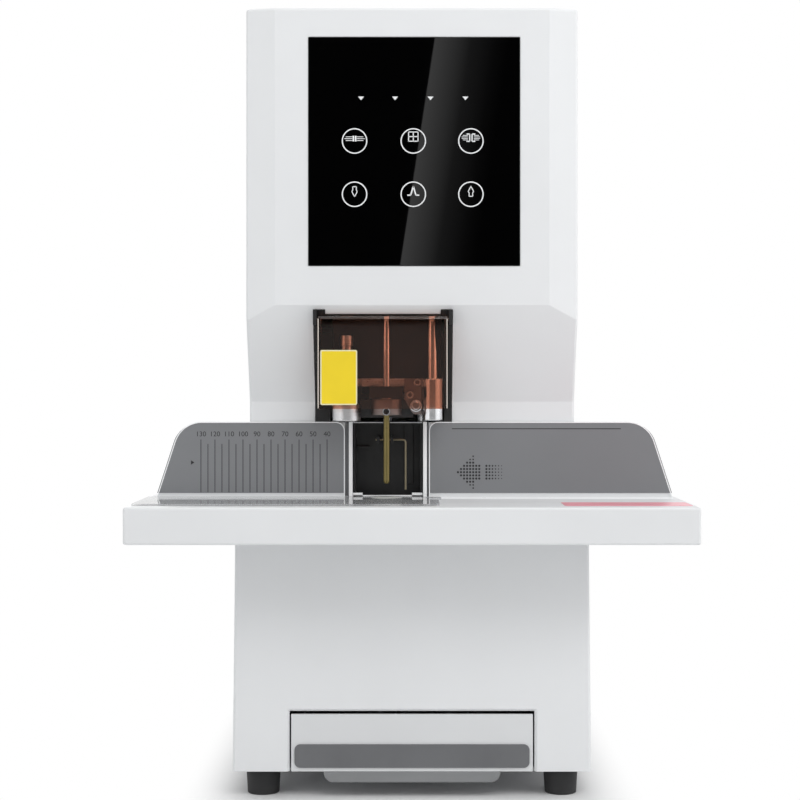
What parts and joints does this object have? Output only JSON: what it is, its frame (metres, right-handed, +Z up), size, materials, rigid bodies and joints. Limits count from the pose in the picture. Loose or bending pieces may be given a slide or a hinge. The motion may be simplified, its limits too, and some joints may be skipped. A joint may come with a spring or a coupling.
{
  "type": "document riveting machine",
  "caption": "Desktop paper drill and riveter with a tall head, touch panel, tinted hinged guard, wide front table with back fences, and a scrap drawer below.",
  "frame": {"origin": "on the floor, in the middle of the machine's width and depth", "axes": "+X to the operator's right, +Y to the back, +Z up; the front with the table faces -Y"},
  "size_m": [0.383, 0.33, 0.552],
  "materials": {
    "casing_white": "satin powder coat",
    "table_white": "satin powder coat",
    "plate_grey": "matt printed sheet",
    "black_plastic": "matt",
    "black_gloss": "glossy glass-like panel",
    "clear_acrylic": "polished",
    "amber_acrylic": "polished",
    "foot_rubber": "matt",
    "pad_plastic": "matt",
    "zinc_steel": "bright zinc",
    "bright_steel": "ground and polished",
    "cast_alloy": "machined",
    "black_steel": "black oxide",
    "bearing_steel": "ground",
    "bronze": "turned",
    "gold_coating": "coated, ground tip",
    "belt_rubber": "matt",
    "board_green": "lacquered",
    "spring_steel": "bright wire",
    "drawer_grey": "satin",
    "label_grey": "matt"
  },
  "bodies": {
    "frame": {"base_plate": "zinc_steel", "rubber_feet": "foot_rubber", "chassis_sides": "zinc_steel", "deck_plate": "zinc_steel", "base_shell": "casing_white", "base_rear_cover": "casing_white", "head_shell": "casing_white", "head_rear_cover": "casing_white", "case_screws": "bright_steel", "table_top": "table_white", "acrylic_sheet": "clear_acrylic", "cutting_pad": "pad_plastic", "fences": "table_white", "scale_plate": "plate_grey", "arrow_plate": "plate_grey", "throat_rails": "table_white", "throat_liner": "black_plastic", "scrap_chute": "zinc_steel", "window_frame": "black_plastic", "touch_glass": "black_gloss", "touch_board": "board_green", "side_frames": "zinc_steel", "frame_bridges": "cast_alloy", "guide_posts": "bright_steel", "screw_bearings": "bearing_steel", "lift_motor": "black_steel", "clearing_needle": "bright_steel", "anvil_guide": "cast_alloy", "power_supply": "zinc_steel", "main_board": "board_green", "fan_frame": "black_plastic", "power_inlet": "black_plastic"},
    "carriage": {"carriage_plate": "bright_steel", "carriage_frame": "black_steel", "carriage_bushings": "bronze", "spindle_housing": "black_steel", "spindle_bearings": "bearing_steel", "drill_motor": "black_steel", "drill_belt": "belt_rubber", "roller_bracket": "zinc_steel", "press_spring": "spring_steel", "rivet_spring": "spring_steel"},
    "drill": {"drill_spindle": "bright_steel", "drill_chuck": "bright_steel", "chuck_screw": "black_steel", "drill_bit": "gold_coating"},
    "motor_drive": {"motor_pulley": "cast_alloy"},
    "press": {"press_foot": "bright_steel"},
    "riveter": {"rivet_head": "bright_steel"},
    "roller": {"guide_roller": "bearing_steel"},
    "lift": {"lift_screw": "bright_steel"},
    "guard": {"amber_guard": "amber_acrylic"},
    "drawer": {"scrap_tray": "zinc_steel", "drawer_front": "drawer_grey", "drawer_strip": "label_grey", "drawer_pull": "drawer_grey"},
    "rocker": {"power_rocker": "black_gloss"},
    "fan": {"fan_rotor": "black_plastic"},
    "feeler": {"paper_feeler": "bronze"},
    "anvil": {"lower_anvil": "bright_steel"}
  },
  "joints": [
    {"name": "carriage_lift", "type": "slide", "parent": "frame", "child": "carriage", "axis": [0, 0, 1], "range_m": [-0.0095, 0.04]},
    {"name": "lift_screw_spin", "type": "hinge", "parent": "frame", "child": "lift", "pos_m": [-0.018, -0.044, 0.33], "axis": [0, 0, 1], "range_deg": [-720.72, 171.17]},
    {"name": "drill_spin", "type": "hinge", "parent": "carriage", "child": "drill", "pos_m": [-0.018, -0.088, 0.28], "axis": [0, 0, 1], "continuous": true},
    {"name": "motor_spin", "type": "hinge", "parent": "carriage", "child": "motor_drive", "pos_m": [-0.018, -0.007, 0.349], "axis": [0, 0, 1], "continuous": true},
    {"name": "press_slide", "type": "slide", "parent": "carriage", "child": "press", "axis": [0, 0, 1], "range_m": [0, 0.007], "stiffness_N_per_m": 250, "springref_m": -0.003, "deforming": ["press_spring"]},
    {"name": "rivet_slide", "type": "slide", "parent": "carriage", "child": "riveter", "axis": [0, 0, 1], "range_m": [-0.043, 0], "stiffness_N_per_m": 60, "springref_m": 0.02, "deforming": ["rivet_spring"]},
    {"name": "roller_spin", "type": "hinge", "parent": "carriage", "child": "roller", "pos_m": [0.0028, -0.0885, 0.2744], "axis": [0, 1, 0], "range_deg": [-575, 575]},
    {"name": "guard_hinge", "type": "hinge", "parent": "frame", "child": "guard", "pos_m": [-0.0203, -0.1075, 0.3344], "axis": [-1, 0, 0], "range_deg": [0, 95]},
    {"name": "drawer_slide", "type": "slide", "parent": "frame", "child": "drawer", "axis": [0, -1, 0], "range_m": [0, 0.13]},
    {"name": "rocker_tilt", "type": "hinge", "parent": "frame", "child": "rocker", "pos_m": [0.07, 0.1588, 0.074], "axis": [1, 0, 0], "range_deg": [0, 12]},
    {"name": "fan_spin", "type": "hinge", "parent": "frame", "child": "fan", "pos_m": [-0.06, 0.152, 0.112], "axis": [0, 1, 0], "continuous": true},
    {"name": "feeler_swing", "type": "hinge", "parent": "frame", "child": "feeler", "pos_m": [-0.0153, -0.0767, 0.25], "axis": [1, 0, 0], "range_deg": [0, 14]},
    {"name": "anvil_slide", "type": "slide", "parent": "frame", "child": "anvil", "axis": [0, 0, 1], "range_m": [-0.006, 0], "stiffness_N_per_m": 60, "springref_m": 0.008}
  ],
  "couplings": [
    {"joint": "lift_screw_spin", "follows": "carriage_lift", "rad_per_m": -314.16},
    {"joint": "motor_spin", "follows": "drill_spin", "ratio": 0.65},
    {"joint": "roller_spin", "follows": "rivet_slide", "rad_per_m": -232.56}
  ]
}
